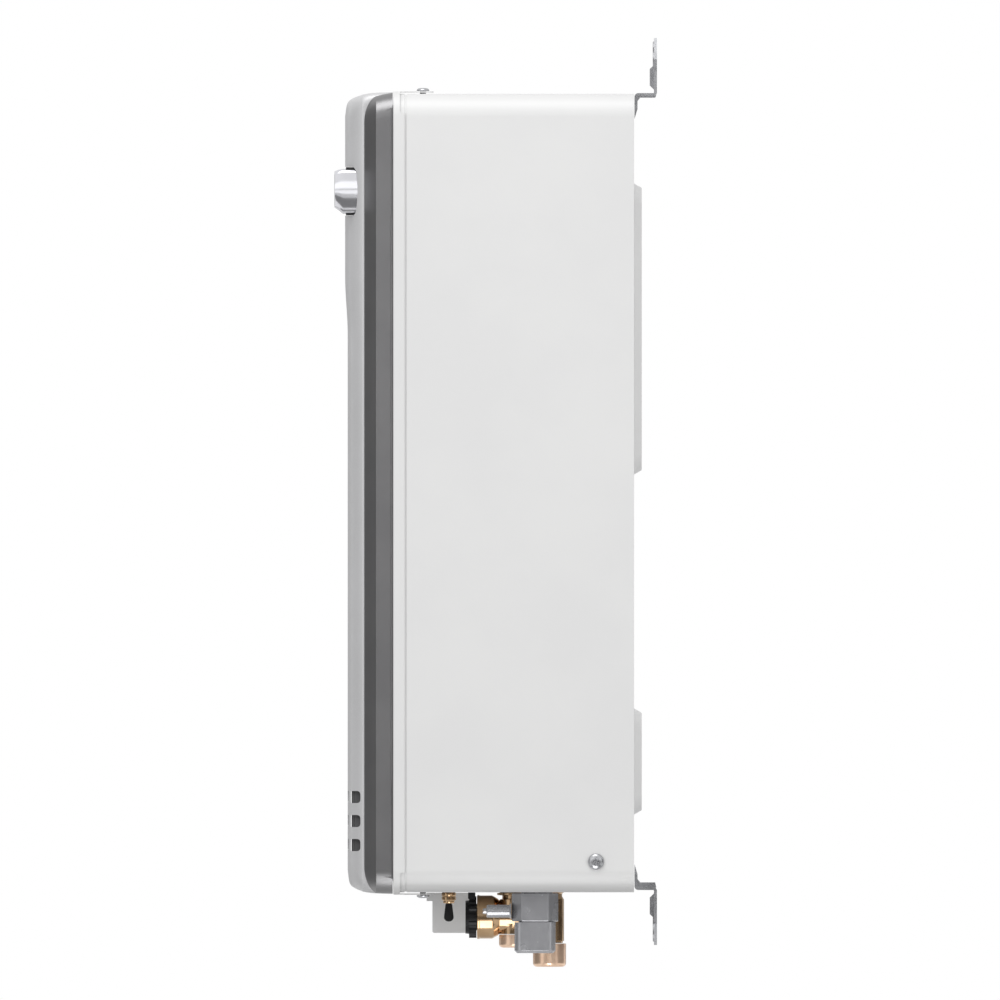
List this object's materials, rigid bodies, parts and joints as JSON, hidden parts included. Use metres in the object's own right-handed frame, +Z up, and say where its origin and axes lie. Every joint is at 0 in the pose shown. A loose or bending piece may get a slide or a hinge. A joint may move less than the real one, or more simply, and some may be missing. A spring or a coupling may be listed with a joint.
{
  "type": "tankless water heater",
  "caption": "Wall-hung outdoor gas water heater: a flat case with a moulded front, an exhaust outlet near its top, wall brackets, and gas and water connections underneath.",
  "frame": {"origin": "on the wall's plane, on the back of the upper wall bracket, half way across the case and 12 mm above its top", "axes": "+Z up, +Y into the wall, so the front faces -Y, and +X to the right seen from the front"},
  "size_m": [0.3542, 0.2137, 0.6153],
  "materials": {
    "case_paint": "semi-gloss light grey paint on steel sheet",
    "zinc_steel": "zinc plated steel",
    "foam": "black sealing foam",
    "panel_silver": "silver grey paint on moulded plastic",
    "trim_grey": "dark grey moulded plastic",
    "satin_chrome": "satin bright metal",
    "black_plastic": "black moulded plastic",
    "bright_steel": "bright steel",
    "copper": null,
    "cast_aluminium": "cast aluminium",
    "brass": "machined brass",
    "ceramic": "glazed white ceramic",
    "glass": "heat resistant glass",
    "cast_grey": "dark grey die casting",
    "bronze_end": "pale bronze",
    "white_plastic": "white moulded plastic",
    "box_plastic": "pale grey moulded plastic",
    "board_green": "green circuit board",
    "red_plastic": "red plastic"
  },
  "bodies": {
    "heater": {"back_plate": "case_paint", "burner_bars": "bright_steel", "burner_box": "zinc_steel", "case_wrap": "case_paint", "cold_inlet_body": "brass", "cold_pipe": "copper", "cold_pipe_end": "bronze_end", "control_board": "board_green", "control_box": "box_plastic", "cover_screw_bottom_left": "zinc_steel", "cover_screw_bottom_right": "zinc_steel", "cover_screw_top_left": "zinc_steel", "cover_screw_top_right": "zinc_steel", "drain_pipe": "copper", "drain_valve_body": "brass", "electrode_set": "ceramic", "exchanger_fins": "copper", "exchanger_tube": "copper", "exhaust_hood": "bright_steel", "fan_housing": "cast_aluminium", "fan_motor": "black_plastic", "flow_sensor_body": "brass", "gas_feed_pipe": "copper", "gas_inlet_fitting": "cast_grey", "gas_manifold": "cast_aluminium", "gas_nozzle_plate": "brass", "gas_valve_body": "cast_aluminium", "heat_exchanger_shell": "copper", "hot_outlet_fitting": "brass", "hot_pipe": "copper", "hot_pipe_end": "bronze_end", "ignition_lead": "red_plastic", "ignition_transformer": "black_plastic", "junction_box": "case_paint", "lower_bracket": "zinc_steel", "modulating_coil": "black_plastic", "shutoff_coil": "black_plastic", "side_screw_left": "zinc_steel", "side_screw_right": "zinc_steel", "sight_glass": "glass", "test_nipple": "cast_grey", "test_nipple_screw": "bright_steel", "upper_bracket": "zinc_steel"},
    "cover": {"front_cover": "case_paint", "cover_gasket": "foam", "front_panel": "panel_silver", "side_trim_left": "trim_grey", "side_trim_right": "trim_grey", "outlet_frame": "satin_chrome", "outlet_grille": "black_plastic"},
    "fan": {"fan_wheel": "bright_steel"},
    "turbine": {"flow_turbine": "white_plastic"},
    "strainer": {"filter_strainer": "white_plastic"},
    "knob": {"filter_knob": "black_plastic"},
    "drain": {"drain_handle": "black_plastic"},
    "shutoff": {"shutoff_plunger": "bright_steel"},
    "modulating": {"modulating_plunger": "bright_steel"},
    "button_down": {"board_button_down": "red_plastic"},
    "button_up": {"board_button_up": "red_plastic"}
  },
  "joints": [
    {"name": "cover_pull", "type": "slide", "parent": "heater", "child": "cover", "axis": [0, -1, 0], "range_m": [0, 0.15]},
    {"name": "fan_spin", "type": "hinge", "parent": "heater", "child": "fan", "pos_m": [-0.0205, -0.085, -0.4123], "axis": [0, 1, 0], "continuous": true},
    {"name": "turbine_spin", "type": "hinge", "parent": "heater", "child": "turbine", "pos_m": [0.052, -0.0937, -0.515], "axis": [0, 0, 1], "continuous": true},
    {"name": "strainer_draw", "type": "slide", "parent": "heater", "child": "strainer", "axis": [0, -1, 0], "range_m": [0, 0.006]},
    {"name": "knob_turn", "type": "hinge", "parent": "strainer", "child": "knob", "pos_m": [0.052, -0.1193, -0.5579], "axis": [0, -1, 0], "range_deg": [0, 1080]},
    {"name": "drain_turn", "type": "hinge", "parent": "heater", "child": "drain", "pos_m": [-0.075, -0.1379, -0.549], "axis": [0, 0, -1], "range_deg": [0, 720]},
    {"name": "shutoff_stroke", "type": "slide", "parent": "heater", "child": "shutoff", "axis": [0, 1, 0], "range_m": [0, 0.003], "stiffness_N_per_m": 300},
    {"name": "modulating_stroke", "type": "slide", "parent": "heater", "child": "modulating", "axis": [0, 1, 0], "range_m": [0, 0.003], "stiffness_N_per_m": 300},
    {"name": "button_down_press", "type": "slide", "parent": "heater", "child": "button_down", "axis": [0, 1, 0], "range_m": [0, 0.0005], "stiffness_N_per_m": 2000},
    {"name": "button_up_press", "type": "slide", "parent": "heater", "child": "button_up", "axis": [0, 1, 0], "range_m": [0, 0.0005], "stiffness_N_per_m": 2000}
  ],
  "couplings": [
    {"joint": "strainer_draw", "follows": "knob_turn", "m_per_rad": 0.0003178}
  ]
}
